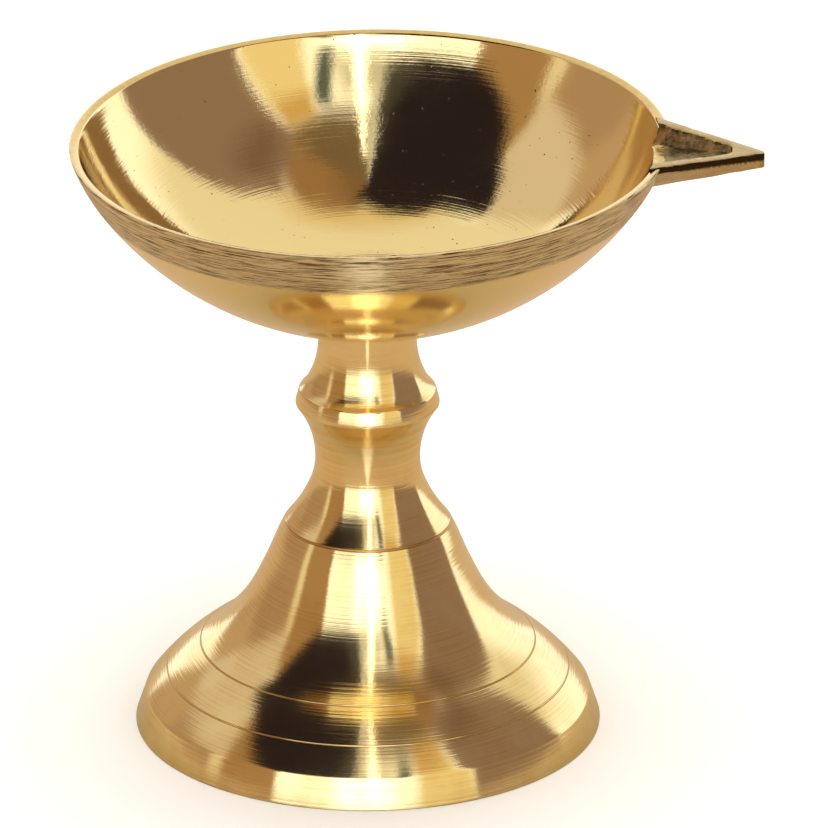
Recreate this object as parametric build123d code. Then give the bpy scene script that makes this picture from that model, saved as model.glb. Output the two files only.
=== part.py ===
from build123d import *
import math
import os

# Butter lamp in cast and turned brass, in millimetres.
# A shallow bowl with a cast wick spout screws on a stud in the top of a turned stem.
# The stem's tenon passes through the crown of a hollow foot and is held by a washer and a nut.
# The origin is on the table at the stem's axis, +Z is up and the spout points along +X.

# Foot: heights are from the table, drops are from the seam with the stem.
foot_height = 23.0
seam_radius = 8.9
shoulder_drop = 2.4
shoulder_swell = 1.1
shoulder_slope = 62.0
bell_drop = 7.5
bell_swell = 3.4
skirt_height = 9.05
skirt_radius = 17.9
base_radius = 24.9
band_height = 3.3
band_taper = 1.1
base_land = 2.2
foot_wall = 2.4
crown_thickness = 5.0
lower_groove_height = 6.0
groove_radius = 0.17
seam_groove_radius = 0.22

# Stem: rises are from the seam with the foot, drops are from the bowl's seat.
stem_length = 22.9
waist_rise = 7.35
waist_radius = 5.6
flare_rise = 4.5
flare_swell = 0.55
collar_drop = 9.3
collar_radius = 7.7
land_height = 1.55
land_taper = 0.4
cove_drop = 6.6
cove_inset = 0.9
neck_length = 2.0
neck_radius = 5.25

# Bowl: a spherical cap, turned inside, with a band below the rim that is ground steeper than the sphere.
# The band starts at an angle from the bowl's lowest point, and its inset is measured at the rim.
# Inside, a nearly flat floor turns up into a thin wall, whose thickness is given at two radii.
# The bowl leans a little: its rim is lowest at the bearing, counted from the spout towards +Y.
rim_radius = 31.8
bowl_height = 20.05
rim_land = 1.05
rim_fall = 0.3
rim_rounding = 0.2
band_angle = 54.0
band_inset = 0.45
floor_cover = 0.6
floor_radius = 7.0
floor_dish = 0.15
lower_wall_radius = 17.0
lower_wall = 0.95
upper_wall_radius = 26.0
upper_wall = 0.85
bowl_lean = 1.1
lean_bearing = 227.0
boss_height = 0.35
boss_fillet = 0.5

# Spout: a pan with upright cheeks and a sloping underside, and a tapering channel for the wick.
# Its length and the channel's are from the rim, and its root is sunk in the wall by the bite.
# Its top falls from a little above the rim at the root to below it at the tip.
spout_length = 10.0
spout_bite = 2.5
spout_root_width = 15.4
spout_tip_width = 0.8
spout_rise = 0.2
spout_droop = 0.8
cheek_height = 0.9
spout_root_depth = 4.0
spout_tip_depth = 1.9
keel_share = 0.47
tip_rounding = 0.3
channel_wall = 1.5
channel_length = 6.4
channel_root_depth = 2.5
channel_end_depth = 0.8
channel_floor_share = 0.7

# Threaded joints, all on one thread size, shown plain at the thread's outer radius.
thread_radius = 3.0
thread_clearance = 0.05
end_chamfer = 0.5
stud_below = 9.0
stud_above = 2.0
stud_end_gap = 0.2
drill_point_angle = 118.0
clearance_hole = 0.15
washer_radius = 6.0
washer_thickness = 1.6
nut_across_flats = 10.0
nut_height = 5.0
nut_chamfer_angle = 30.0
tenon_overhang = 1.0

seat_height = foot_height + stem_length
crown_underside = foot_height - crown_thickness
sphere_rim_radius = rim_radius + band_inset
bowl_radius = (sphere_rim_radius ** 2 + bowl_height ** 2) / (2 * bowl_height)
bowl_centre = seat_height + boss_height + bowl_radius
spout_root = rim_radius - spout_bite
spout_reach = rim_radius + spout_length
tapped_radius = thread_radius + thread_clearance
tapped_depth = stud_above + stud_end_gap
DOWN = Vector(0, -1)
UP = Vector(0, 1)


def arc_chain(start, leaving, stations):
    """Arcs from station to station, each leaving in the direction in which the last one arrived."""
    arcs = []
    for station in stations:
        arc = TangentArc(start, station, tangent=leaving)
        arcs.append(arc)
        start = station
        leaving = arc % 1
    return arcs


def inner_arcs(arcs, wall):
    """The same arcs moved inwards by the wall: each offset arc keeps its centre and its end directions."""
    moved = []
    for arc in arcs:
        ends = []
        for end in (0, 1):
            along = arc % end
            ends.append(arc @ end + Vector(along.Y, -along.X) * wall)
        moved.append(TangentArc(ends[0], ends[1], tangent=arc % 0))
    return moved


def turned(*edges):
    """The solid of revolution about Z of a closed outline drawn with X as radius and Y as height."""
    return revolve(Plane.XZ * make_face(Wire(edges)), Axis.Z)


def outline(points):
    """The straight edges from point to point."""
    return [Line(a, b) for a, b in zip(points, points[1:])]


def disc(radius, low, high):
    """A round bar about Z between two heights."""
    return Pos(0, 0, low) * Cylinder(radius, high - low, align=(Align.CENTER, Align.CENTER, Align.MIN))


def tool_groove(radius, height, tool):
    """A ring cut by a round-nosed tool of the given radius."""
    return Pos(0, 0, height) * Torus(radius, tool)


def chamfered_ends(bar, size):
    """A bar with both end edges chamfered."""
    return chamfer(bar.edges().filter_by(GeomType.CIRCLE), size)


def make_foot():
    """Hollow bell: flared shoulder, hollow bell, round skirt and a bevelled band, with two tool grooves."""
    seam = (seam_radius, foot_height)
    shoulder = (seam_radius + shoulder_swell, foot_height - shoulder_drop)
    bell = (seam_radius + bell_swell, foot_height - bell_drop)
    skirt = (skirt_radius, skirt_height)
    band = (base_radius - band_taper, band_height)
    slope = math.radians(shoulder_slope)
    flank = arc_chain(seam, Vector(math.cos(slope), -math.sin(slope)), (shoulder, bell, skirt, band))
    blank = turned(*flank, *outline([band, (base_radius, 0), (0, 0), (0, foot_height), seam]))

    hollow_flank = inner_arcs(flank, foot_wall)
    top = hollow_flank[0] @ 0
    foot_edge = hollow_flank[-1] @ 1
    mouth = (base_radius - base_land, 0)
    hollow = turned(*hollow_flank, *outline([foot_edge, mouth, (0, 0), (0, top.Y), top]))
    hollow -= disc(base_radius, crown_underside, foot_height)

    skirt_arc = flank[-1]
    centre = skirt_arc.arc_center
    reach = math.sqrt(skirt_arc.radius ** 2 - (lower_groove_height - centre.Y) ** 2)
    foot = blank - hollow
    foot -= disc(thread_radius + clearance_hole, crown_underside, foot_height)
    foot -= tool_groove(centre.X + reach, lower_groove_height, groove_radius)
    foot -= tool_groove(skirt_radius, skirt_height, groove_radius)
    foot -= tool_groove(seam_radius, foot_height, seam_groove_radius)
    return foot


def make_stem():
    """Turned baluster: flared base, waist, collar with a narrow land, cove and neck, with its tenon and socket."""
    neck_top = (neck_radius, seat_height)
    neck = (neck_radius, seat_height - neck_length)
    land_top = (collar_radius - land_taper, seat_height - collar_drop + land_height)
    cove = (land_top[0] - cove_inset, seat_height - cove_drop)
    collar = (collar_radius, seat_height - collar_drop)
    waist = (waist_radius, foot_height + waist_rise)
    flare = (waist_radius + flare_swell, foot_height + flare_rise)
    seam = (seam_radius, foot_height)
    upper = arc_chain(neck, DOWN, (cove, land_top))
    under_collar = TangentArc(waist, collar, tangent=UP)
    lower = arc_chain(waist, DOWN, (flare, seam))
    body = turned(
        *outline([(0, foot_height), (0, seat_height), neck_top, neck]),
        *upper,
        Line(land_top, collar),
        under_collar,
        *lower,
        Line(seam, (0, foot_height)),
    )

    tenon_end = crown_underside - washer_thickness - nut_height - tenon_overhang
    tenon = disc(thread_radius, tenon_end, foot_height + thread_radius)
    tenon = chamfer(tenon.edges().filter_by(GeomType.CIRCLE).sort_by(Axis.Z)[0], end_chamfer)
    stem = body + tenon

    socket_end = seat_height - stud_below - stud_end_gap
    point = tapped_radius / math.tan(math.radians(drill_point_angle / 2))
    socket = disc(tapped_radius, socket_end, seat_height)
    socket += Pos(0, 0, socket_end) * Cone(0, tapped_radius, point, align=(Align.CENTER, Align.CENTER, Align.MAX))
    stem -= socket
    stem -= tool_groove(seam_radius, foot_height, seam_groove_radius)
    return stem


def spout_section(place, width, top, depth, floor_share, cheek):
    """Section across the spout: level top, upright cheeks, then sides that draw in to the underside."""
    half = width / 2
    keel = half * floor_share
    points = [
        (-half, top),
        (half, top),
        (half, top - cheek),
        (keel, top - depth),
        (-keel, top - depth),
        (-half, top - cheek),
    ]
    return Plane(origin=(place, 0, 0), x_dir=(0, 1, 0), z_dir=(1, 0, 0)) * Polygon(*points, align=None)


def along_spout(place, at_root, at_tip):
    """A size at a place along the spout, changing evenly from the root to the tip."""
    share = (place - spout_root) / (spout_reach - spout_root)
    return at_root + (at_tip - at_root) * share


def inside_place(radius, wall):
    """The place at a radius that lies a wall's thickness inside the outer sphere."""
    return (radius, bowl_centre - math.sqrt((bowl_radius - wall) ** 2 - radius ** 2))


def make_boss():
    """Round pad that carries the bowl on the stem, filleted into the outside of the sphere."""
    fillet_offset = neck_radius + boss_fillet
    fillet_reach = bowl_radius + boss_fillet
    fillet_drop = math.sqrt(fillet_reach ** 2 - fillet_offset ** 2)
    share = bowl_radius / fillet_reach
    side_top = (neck_radius, bowl_centre - fillet_drop)
    on_sphere = (fillet_offset * share, bowl_centre - fillet_drop * share)
    blend = TangentArc(side_top, on_sphere, tangent=UP)
    return turned(
        *outline([on_sphere, (0, on_sphere[1]), (0, seat_height), (neck_radius, seat_height), side_top]), blend
    )


def make_bowl():
    """Leaning spherical bowl with a turned inside, a cast spout with its channel, and a tapped boss below."""
    lowest = (0, seat_height + boss_height)
    slope = math.radians(band_angle)
    band_start = (bowl_radius * math.sin(slope), bowl_centre - bowl_radius * math.cos(slope))
    rim_height = lowest[1] + bowl_height
    rim_outer = (rim_radius, rim_height)
    rim_inner = (rim_radius - rim_land, rim_height - rim_fall)
    floor = (0, seat_height + tapped_depth + floor_cover)
    floor_edge = (floor_radius, floor[1] + floor_dish)
    lower_place = inside_place(lower_wall_radius, lower_wall)
    upper_place = inside_place(upper_wall_radius, upper_wall)
    outside = arc_chain(lowest, Vector(1, 0), (band_start, rim_outer))
    inside = arc_chain(floor, Vector(1, 0), (floor_edge, lower_place, upper_place, rim_inner))
    wall = make_face(Wire([*outside, Line(rim_outer, rim_inner), *inside, Line(floor, lowest)]))
    rim_corners = wall.vertices().sort_by(Axis.X)[-2:]
    shell = revolve(Plane.XZ * fillet(rim_corners, rim_rounding), Axis.Z)
    cavity = turned(*inside, *outline([rim_inner, (rim_inner[0], bowl_centre), (0, bowl_centre), floor]))

    root_top = rim_height + spout_rise
    tip_top = rim_height - spout_droop
    root = spout_section(spout_root, spout_root_width, root_top, spout_root_depth, keel_share, cheek_height)
    tip = spout_section(spout_reach, spout_tip_width, tip_top, spout_tip_depth, keel_share, cheek_height)
    spout = loft([root, tip], ruled=True)
    tip_edges = spout.edges().filter_by(Axis.Z).sort_by(Axis.X)[-2:]
    spout = fillet(tip_edges, tip_rounding) - cavity

    channel_start = spout_root - channel_wall
    channel_end = rim_radius + channel_length
    channel_parts = []
    for place, depth in ((channel_start, channel_root_depth), (channel_end, channel_end_depth)):
        width = along_spout(place, spout_root_width, spout_tip_width) - 2 * channel_wall
        top = along_spout(place, root_top, tip_top)
        channel_parts.append(
            spout_section(place, width, top + channel_wall, depth + channel_wall, channel_floor_share, channel_wall)
        )
    channel = loft(channel_parts, ruled=True)

    pivot = Pos(0, 0, bowl_centre) * Rot(0, 0, lean_bearing)
    leaning = pivot * Rot(0, bowl_lean, 0) * pivot.inverse() * (shell + spout - channel)
    bowl = leaning + make_boss()
    bowl -= disc(tapped_radius, seat_height, seat_height + tapped_depth)
    return bowl


def make_stud():
    """Headless stud that joins the bowl to the stem."""
    return chamfered_ends(disc(thread_radius, seat_height - stud_below, seat_height + stud_above), end_chamfer)


def make_washer():
    """Plain washer under the crown of the foot."""
    low = crown_underside - washer_thickness
    return disc(washer_radius, low, crown_underside) - disc(thread_radius + clearance_hole, low, crown_underside)


def make_nut():
    """Hexagon nut with its corners chamfered at both ends."""
    high = crown_underside - washer_thickness
    low = high - nut_height
    hexagon = RegularPolygon(nut_across_flats / 2, 6, major_radius=False)
    blank = extrude(Pos(0, 0, low) * hexagon, nut_height)
    corner = nut_across_flats / 2 / math.cos(math.pi / 6)
    chamfer_rise = (corner - nut_across_flats / 2) * math.tan(math.radians(nut_chamfer_angle))
    flat = nut_across_flats / 2
    barrel = turned(
        *outline(
            [
                (0, low),
                (flat, low),
                (corner, low + chamfer_rise),
                (corner, high - chamfer_rise),
                (flat, high),
                (0, high),
                (0, low),
            ]
        )
    )
    return (blank & barrel) - disc(tapped_radius, low, high)


nodes = {
    "foot": make_foot(),
    "stem": make_stem(),
    "bowl": make_bowl(),
    "bowl_stud": make_stud(),
    "foot_washer": make_washer(),
    "foot_nut": make_nut(),
}

os.makedirs("parts", exist_ok=True)
for name, shape in nodes.items():
    export_step(shape, f"parts/{name}.step")
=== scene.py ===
import math

import bmesh
import bpy
from bpy.props import FloatProperty, FloatVectorProperty, PointerProperty
from mathutils import Matrix, Vector, noise


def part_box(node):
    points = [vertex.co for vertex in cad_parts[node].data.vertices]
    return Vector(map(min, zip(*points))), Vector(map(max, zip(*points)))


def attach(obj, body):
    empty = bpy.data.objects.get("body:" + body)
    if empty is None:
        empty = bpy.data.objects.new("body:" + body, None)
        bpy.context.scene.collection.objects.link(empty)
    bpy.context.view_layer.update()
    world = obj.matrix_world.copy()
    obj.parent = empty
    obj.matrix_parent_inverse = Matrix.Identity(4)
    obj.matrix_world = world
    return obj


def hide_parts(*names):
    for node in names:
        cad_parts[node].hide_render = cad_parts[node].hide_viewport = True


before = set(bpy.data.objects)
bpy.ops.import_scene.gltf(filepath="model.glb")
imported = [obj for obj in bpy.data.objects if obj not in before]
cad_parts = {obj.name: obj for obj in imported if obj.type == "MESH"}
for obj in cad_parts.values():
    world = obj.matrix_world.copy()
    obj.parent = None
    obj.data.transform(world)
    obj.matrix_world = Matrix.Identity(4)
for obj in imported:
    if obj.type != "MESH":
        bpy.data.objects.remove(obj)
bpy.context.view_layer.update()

bl_info = {
    "name": "Butter lamp",
    "version": (1, 0, 0),
    "blender": (4, 5, 0),
    "location": "View3D > Sidebar > Lamp",
    "description": "Builds a turned brass butter lamp round its CAD frame, with its stage",
    "category": "Object",
}

MM = 0.001

# How finely pieces are divided: steps round the axis, along the outline and in a groove.
TURN_STEPS = 192
BOWL_STEPS = 256
BAR_STEPS = 96
THREAD_STEPS = 48
OUTLINE_STEP = 0.45 * MM
LEAST_ARC_STEPS = 3
GROOVE_STEPS = 8
MERGE_DISTANCE = 0.002 * MM
SHARP_ANGLE = math.radians(32.0)
# How far joined pieces reach into each other, and how far a cutter reaches past what it cuts.
BITE = 0.03 * MM
OVERSHOOT = 1.0 * MM
# A thread's depth as a share of its pitch, and the radius of the bar that trims it as a share of its own.
THREAD_DEPTH = 0.6134
TRIM_SHARE = 1.01
# How often cast skin is divided, and its wide and its fine lumps as shares of its grain and of its height.
CAST_DIVISIONS = 4
SWELL_WIDTH = 2.5
FINE_HEIGHT = 0.5

# Material numbers on the bowl's faces and on the foot's.
OUTSIDE, INSIDE, RIM, CHEEK, SPOUT, CHANNEL = range(6)
TURNED, HOLLOW, GROOVE = range(3)
# How far a face's direction leans inwards or down in the hollow, up on the rim, and down and up on a cheek.
HOLLOW_INWARDS = -0.05
HOLLOW_DOWN = -0.5
RIM_UP = 0.8
CHEEK_DOWN = -0.35
CHEEK_UP = 0.7

# Widths of the tool lines on turned brass and of the grains in cast brass, and how rough cast brass is.
FEED = 0.3 * MM
TEAR = 0.4 * MM
SAND = 0.35 * MM
CAST_ROUGHNESS = (0.26, 0.44)
# Scratches of the abrasive belt: length, width and slant in one radian round the bowl.
SCRATCHES = ((5.0 * MM, 0.09 * MM, 0.9 * MM), (16.0 * MM, 0.28 * MM, -0.8 * MM))

# How far the camera sees, in metres.
CAMERA_REACH = 50.0
# Panels of the studio: colour, brightness, corners in degrees round from the camera's side and upwards,
# soft edge. Corners run anticlockwise, and a later panel stands before an earlier one.
PANELS = (
    ("#F8F0DC", 1.0, ((112, 24), (190, 24), (190, 84), (112, 84)), 8),
    ("#F8F0DC", 1.0, ((-190, 24), (-136, 24), (-130, 86), (-190, 86)), 8),
    ("#EBD6AC", 1.0, ((112, 64), (190, 64), (190, 84), (112, 84)), 8),
    ("#EBD6AC", 1.0, ((-190, 64), (-130, 64), (-130, 86), (-190, 86)), 8),
    ("#C6A88E", 1.0, ((-152, -10), (-47, -10), (-47, 57), (-131, 57)), 2),
    ("#E2D3C6", 1.0, ((-143, 26), (-80, 26), (-92, 56), (-132, 56)), 3),
    ("#B59880", 1.0, ((-128, -10), (-84, -10), (-88, 26), (-120, 26)), 5),
    ("#F2E6CE", 1.0, ((-85, -10), (-76, -10), (-77, 26), (-84, 34)), 2.5),
    ("#B08D68", 1.0, ((-76, -10), (-46, -10), (-46, 40), (-77, 24)), 3),
    ("#B08D68", 1.0, ((-76, 20), (-46, 20), (-46, 60), (-98, 56)), 4),
    ("#FFFFFF", 1.6, ((-46, -10), (22, -10), (22, 30), (-46, 30)), 1.5),
    ("#FFFFFF", 3.0, ((-16, -10), (14, -10), (14, 30), (-16, 30)), 6),
    ("#2A2228", 1.0, ((-131, 51), (-40, 51), (-40, 100), (-131, 100)), 1.5),
    ("#2A2228", 1.0, ((-190, 83), (-136, 67), (-24, 67), (-24, 100), (-190, 100)), 2),
    ("#2A2228", 1.0, ((-110, 58), (-47, 29), (-8, 33), (-8, 100), (-110, 100)), 3.5),
    ("#4B4844", 1.0, ((-24, 34), (-6, 36), (-6, 64), (-14, 64)), 6),
    ("#7C6750", 1.0, ((-4, 58), (80, 58), (80, 100), (-4, 100)), 6),
    ("#A07C58", 1.0, ((60, 60), (114, 66), (168, 77), (168, 100), (60, 100)), 6),
    ("#86694C", 1.0, ((20, 82), (152, 82), (152, 100), (20, 100)), 6),
    ("#3A2E2E", 1.0, ((152, 80), (190, 80), (190, 100), (152, 100)), 4),
    ("#967E74", 1.0, ((53, -10), (109, -10), (119, 50), (112, 66), (75, 67), (57, 62)), 2.5),
    ("#80665A", 1.0, ((64, 52), (104, 52), (100, 64), (66, 62)), 6),
    ("#F2DFB0", 1.1, ((24, -10), (53, -10), (53, 50), (30, 50)), 3),
    ("#DDB878", 1.0, ((30, 47), (54, 47), (54, 60), (33, 60)), 4),
    ("#D8D4C8", 1.0, ((-9, 31), (14, 31), (12, 52), (-6, 52)), 6),
    ("#5F686A", 1.0, ((13, 28), (20, 28), (30, 54), (21, 56)), 3),
    ("#FFFFFF", 3.5, ((1, -10), (7, -10), (5, 78), (2, 78)), 3.5),
)

_, FOOT_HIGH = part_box("foot")
STEM_LOW, STEM_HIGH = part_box("stem")
STUD_LOW, STUD_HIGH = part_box("bowl_stud")
WASHER_LOW, WASHER_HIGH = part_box("foot_washer")
NUT_LOW, NUT_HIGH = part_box("foot_nut")


# Settings


def mm(description, millimetres):
    """A size that a user can change, given in millimetres and kept in metres."""
    return number(description, millimetres * MM, unit="LENGTH", subtype="DISTANCE", precision=5)


def angle(description, degrees):
    """An angle that a user can change, given in degrees and kept in radians."""
    return number(description, math.radians(degrees), subtype="ANGLE")


def number(description, value, **more):
    """A number that a user can change."""
    return FloatProperty(description=description, default=value, **more)


def colour(description, hex_code):
    """A colour that a user can change, given as an sRGB hex code."""
    return FloatVectorProperty(
        description=description, default=linear(hex_code), subtype="COLOR", size=3, min=0.0, max=1.0
    )


def linear(hex_code):
    """Linear red, green and blue of an sRGB hex code."""
    channels = []
    for place in (1, 3, 5):
        share = int(hex_code[place:place + 2], 16) / 255.0
        channels.append(share / 12.92 if share <= 0.04045 else ((share + 0.055) / 1.055) ** 2.4)
    return tuple(channels)


def labelled(group):
    """The group of settings, each labelled with its own name in plain words."""
    for name, setting in group.__annotations__.items():
        setting.keywords["name"] = name.replace("_", " ").capitalize()
    return group


@labelled
class FootSizes(bpy.types.PropertyGroup):
    """Sizes of the hollow foot. Drops are from the seam with the stem."""

    height: mm("Height of the seam with the stem", FOOT_HIGH.z / MM)
    seam_radius: mm("Outer radius at the seam with the stem", 8.9)
    shoulder_drop: mm("From the seam down to the shoulder", 2.4)
    shoulder_swell: mm("How far the shoulder stands out past the seam", 1.1)
    shoulder_slope: angle("Slope of the flank at the seam", 62.0)
    bell_drop: mm("From the seam down to the end of the steep flank", 7.5)
    bell_swell: mm("How far that place stands out past the seam", 3.4)
    skirt_height: mm("Height of the upper tool groove", 9.05)
    skirt_radius: mm("Radius of the upper tool groove", 17.9)
    base_radius: mm("Radius of the foot on the table", 24.9)
    band_height: mm("Height of the bevelled band round the base", 3.3)
    band_taper: mm("How far the band draws in towards its top", 1.1)
    base_land: mm("Width of the ring that stands on the table", 2.2)
    wall: mm("Thickness of the flared wall", 2.4)
    crown: mm("Thickness of the crown under the stem", 5.0)
    lower_groove: mm("Height of the lower tool groove", 6.0)
    groove: mm("Radius of the tool that cut the two grooves", 0.11)
    seam_groove: mm("Radius of the groove at the seam", 0.16)
    worn_edge: mm("Rounding of the handled edges", 0.16)
    hole: mm("Radius of the hole for the stem's tenon", 3.15)


@labelled
class StemSizes(bpy.types.PropertyGroup):
    """Sizes of the turned stem. Rises are from its seam with the foot, drops are from the bowl's seat."""

    waist_rise: mm("From the seam up to the narrowest place", 7.35)
    waist_radius: mm("Radius at the narrowest place", 5.6)
    flare_rise: mm("From the seam up to the start of the flare", 4.5)
    flare_swell: mm("How far the start of the flare stands out past the waist", 0.55)
    collar_drop: mm("From the seat down to the collar's lower edge", 9.3)
    collar_radius: mm("Radius of the collar's lower edge", 7.7)
    land_height: mm("Height of the narrow land on the collar", 1.55)
    land_taper: mm("How far the land draws in towards its top", 0.4)
    cove_drop: mm("From the seat down to the middle of the cove", 6.6)
    cove_inset: mm("How far the cove draws in from the land", 0.9)
    neck_length: mm("Height of the straight neck under the bowl", 2.0)
    neck_radius: mm("Radius of the neck", 5.25)
    socket_gap: mm("Free depth under the stud", 0.2)
    drill_point: angle("Point angle of the drilled socket", 118.0)
    worn_edge: mm("Rounding of the handled edges", 0.13)


@labelled
class BowlSizes(bpy.types.PropertyGroup):
    """Sizes of the bowl, a spherical cap, and of its spout. The spout's lengths are from the rim."""

    rim_radius: mm("Outer radius of the rim", 31.78)
    height: mm("From the lowest place of the sphere up to the rim", 20.05)
    rim_land: mm("Width of the rim", 1.05)
    rim_fall: mm("How far the rim falls towards the inside", 0.3)
    rim_edge: mm("Rounding of the rim's outer edge", 0.52)
    rim_rounding: mm("Rounding of the rim's inner edge", 0.12)
    band_angle: angle("Where the ground band starts, from the lowest place", 54.0)
    band_inset: mm("How far the ground band draws in from the sphere at the rim", 0.45)
    floor_rise: mm("From the stem's top up to the bowl's floor", 2.8)
    floor_radius: mm("Radius of the nearly flat floor", 7.0)
    floor_dish: mm("How far the floor rises towards its edge", 0.15)
    lower_wall_radius: mm("Radius where the lower wall is measured", 17.0)
    lower_wall: mm("Thickness of the lower wall there", 0.95)
    upper_wall_radius: mm("Radius where the upper wall is measured", 26.0)
    upper_wall: mm("Thickness of the upper wall there", 0.85)
    boss_height: mm("Height of the pad that stands on the stem", 0.35)
    boss_fillet: mm("Fillet between the pad and the sphere", 0.5)
    tapped_depth: mm("Depth of the tapped hole", 2.2)
    lean: angle("How far the bowl leans", 1.1)
    lean_bearing: angle("Where the rim is lowest, from the spout round towards the back", 227.0)
    spout_length: mm("From the rim out to the spout's tip", 10.0)
    spout_bite: mm("How far the spout's root is sunk in the wall", 2.5)
    root_width: mm("Width of the spout at its root", 15.4)
    tip_width: mm("Width of the spout at its tip", 0.8)
    rise: mm("How far the spout's top stands above the rim at its root", 0.2)
    droop: mm("How far the spout's top lies below the rim at its tip", 0.8)
    cheek: mm("Height of the upright cheeks", 0.9)
    root_depth: mm("Depth of the spout at its root", 4.0)
    tip_depth: mm("Depth of the spout at its tip", 1.9)
    keel_share: number("Width of the spout's underside, as a share of the whole", 0.47)
    spout_edge: mm("Rounding of the spout's cast edges", 0.34)
    channel_wall: mm("Thickness of the cheeks beside the channel", 1.5)
    channel_length: mm("From the rim out to the channel's end", 6.4)
    channel_root_depth: mm("Depth of the channel at its root", 2.5)
    channel_end_depth: mm("Depth of the channel at its end", 0.8)
    channel_share: number("Width of the channel's floor, as a share of its top", 0.7)
    sill: mm("Width of the rubbed strip at the channel's mouth", 0.6)
    cast_waviness: mm("Unevenness of the spout's cast skin", 0.06)
    cast_lumps: mm("Height of the lumps on the channel's cast floor", 0.2)
    cast_grain: mm("Width of the lumps on cast skin", 0.75)


@labelled
class ThreadSizes(bpy.types.PropertyGroup):
    """Sizes of the threaded joints, all on one coarse 6 mm thread."""

    radius: mm("Outer radius of the thread", 3.0)
    pitch: mm("Rise of the thread in one turn", 1.0)
    clearance: mm("Room round the thread in its tapped holes", 0.05)
    end_chamfer: mm("Chamfer on the threaded ends", 0.5)
    washer_radius: mm("Outer radius of the washer", 6.0)
    washer_hole: mm("Radius of the washer's hole", 3.15)
    washer_edge: mm("Rounding of the washer's edges", 0.2)
    nut_flats: mm("Width of the nut across its flats", 10.0)
    nut_chamfer: angle("Angle of the nut's end chamfers", 30.0)


@labelled
class BrassColours(bpy.types.PropertyGroup):
    """Colours of the brass in its finishes."""

    bright: colour("Freshly turned brass", "#F2DDA4")
    warm: colour("Turned brass that has begun to tone", "#E6C98C")
    linished: colour("Brass scratched by an abrasive belt", "#DFCFA6")
    cast: colour("Brass as it came out of the mould", "#D2BA86")
    tarnish: colour("Dull brown in pits, scratches and cast hollows", "#64492C")
    groove: colour("Browner brass at the bottom of the tool grooves", "#C09C62")
    # Near-black brown: a band under the spout's upper edge, and the grain hollows of the channel's cast skin.
    soot: colour("Soot and old polish on the spout", "#33291E")


@labelled
class StageSettings(bpy.types.PropertyGroup):
    """Camera, floor and light."""

    azimuth: angle("Camera's turn towards the spout", 3.5)
    elevation: angle("Camera's height angle", 22.81)
    distance: mm("Camera's distance", 1500.0)
    target_side: mm("How far right of the axis the camera looks", 4.93)
    target_height: mm("Height that the camera looks at", 35.07)
    field: mm("Width of the view at the lamp", 88.01)
    floor_size: mm("Half the width of the floor", 6000.0)
    floor: colour("Matt paper floor", "#FBFAF8")
    # The next five settings paint light and shade into the floor that only the brass sees: painted shade over
    # the whole floor, a painted glow close under the lamp and a painted light streak before it.
    painted_floor_shade: colour("The floor as the brass sees it", "#B8A38B")
    painted_floor_glow: colour("The floor close under the lamp as the brass sees it", "#BBAB8F")
    painted_glow_reach: mm("How far from the lamp's axis the floor glows", 70.0)
    painted_streak_width: mm("Half the width of the light streak on the floor before the lamp", 9.0)
    painted_full_glow: number("Share of the glow's reach and of the streak's width that is evenly lit", 0.3)
    backdrop: colour("Behind the floor", "#FFFFFF")
    white_wall: colour("The studio's walls where no panel stands", "#FFFFFF")
    white_level: number("Brightness of the white walls", 1.35)
    overhead: number("Light on the floor from above", 27.0, unit="POWER")
    overhead_width: mm("Width of the light above", 1600.0)
    overhead_height: mm("Height of the light above", 1600.0)


class LampSettings(bpy.types.PropertyGroup):
    """All that can be changed on the lamp and its stage."""

    foot: PointerProperty(type=FootSizes)
    stem: PointerProperty(type=StemSizes)
    bowl: PointerProperty(type=BowlSizes)
    thread: PointerProperty(type=ThreadSizes)
    brass: PointerProperty(type=BrassColours)
    stage: PointerProperty(type=StageSettings)


# Outlines of turned pieces


class Arc:
    """An arc in the plane of radius and height that leaves its start along a heading."""

    def __init__(self, start, heading, end):
        self.start = Vector(start)
        self.heading = Vector(heading).normalized()
        self.end = Vector(end)
        chord = self.end - self.start
        across = self.heading.x * chord.y - self.heading.y * chord.x
        self.turn = 2.0 * math.atan2(across, self.heading.dot(chord))
        left = Vector((-self.heading.y, self.heading.x))
        self.centre = self.start + left * (chord.length_squared / (2.0 * across))
        self.radius = (self.start - self.centre).length
        self.arrival = turned_heading(self.heading, self.turn)

    def moved(self, distance):
        """The arc at a distance to its right, with the same centre."""
        start = self.start + Vector((self.heading.y, -self.heading.x)) * distance
        end = self.end + Vector((self.arrival.y, -self.arrival.x)) * distance
        return Arc(start, self.heading, end)

    def backwards(self):
        """The same arc from its end to its start."""
        return Arc(self.end, -self.arrival, self.start)

    def at_height(self, height):
        """The arc's place at a height."""
        reach = math.sqrt(self.radius ** 2 - (height - self.centre.y) ** 2)
        places = [Vector((self.centre.x + side * reach, height)) for side in (-1, 1)]
        middle = (self.start + self.end) / 2
        return min(places, key=lambda place: (place - middle).length)

    def split(self, height):
        """The arc's two parts, before and after a height."""
        place = self.at_height(height)
        first = Arc(self.start, self.heading, place)
        return first, Arc(place, first.arrival, self.end)


def turned_heading(heading, turn):
    """A heading turned by an angle, anticlockwise positive."""
    across, up = heading
    sine, cosine = math.sin(turn), math.cos(turn)
    return Vector((across * cosine - up * sine, across * sine + up * cosine))


def arc_chain(start, heading, stations):
    """Arcs from station to station, each leaving in the direction in which the last one arrived."""
    arcs = []
    for station in stations:
        arc = Arc(start, heading, station)
        arcs.append(arc)
        start, heading = station, arc.arrival
    return arcs


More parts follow.
